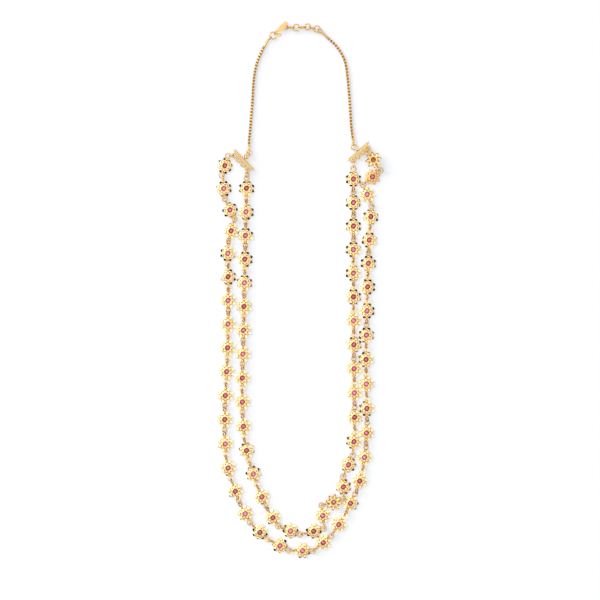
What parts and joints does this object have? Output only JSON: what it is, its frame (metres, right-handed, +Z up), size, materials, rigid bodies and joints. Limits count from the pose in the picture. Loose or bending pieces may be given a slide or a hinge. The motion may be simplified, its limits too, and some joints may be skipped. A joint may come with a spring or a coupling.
{
  "type": "layered necklace",
  "caption": "Layered gold necklace laid flat: strands of eight-petalled flower links set with round pink stones, pierced end bars, box chains, a hook and a short extension.",
  "frame": {"origin": "on the surface that the necklace lies on, in the middle of its laid-out box", "axes": "+Y from the lowest flowers to the clasp, +X to the right in the picture, +Z up out of the surface"},
  "size_m": [0.1004, 0.3215, 0.0042],
  "materials": {
    "flower_metal": "polished yellow gold, with diamond-cut mirror facets on the petal tips",
    "chain_metal": "polished, slightly more orange gold",
    "stones": "clear to crimson pink, faceted and polished"
  },
  "bodies": {
    "root": {"outer_flowers_left": "flower_metal", "outer_flowers_right": "flower_metal", "inner_flowers_left": "flower_metal", "inner_flowers_right": "flower_metal", "outer_stones_left": "stones", "outer_stones_right": "stones", "inner_stones_left": "stones", "inner_stones_right": "stones", "left_bar": "chain_metal", "right_bar": "chain_metal", "left_outer_link": "chain_metal", "left_inner_link": "chain_metal", "left_inner_ring": "chain_metal", "right_outer_link": "chain_metal", "right_inner_link": "chain_metal", "left_chain_link": "chain_metal", "right_chain_ring": "chain_metal", "left_chain_end_cap": "chain_metal", "right_chain_end_cap": "chain_metal", "left_chain": "chain_metal", "right_chain": "chain_metal", "left_clasp_cap": "chain_metal", "right_clasp_cap": "chain_metal", "clasp_ring": "chain_metal", "hook": "chain_metal", "extension_link_1": "chain_metal", "extension_ring_1": "chain_metal", "extension_link_2": "chain_metal", "extension_ring_2": "chain_metal", "extension_link_3": "chain_metal", "extension_ring_3": "chain_metal"}
  },
  "joints": []
}
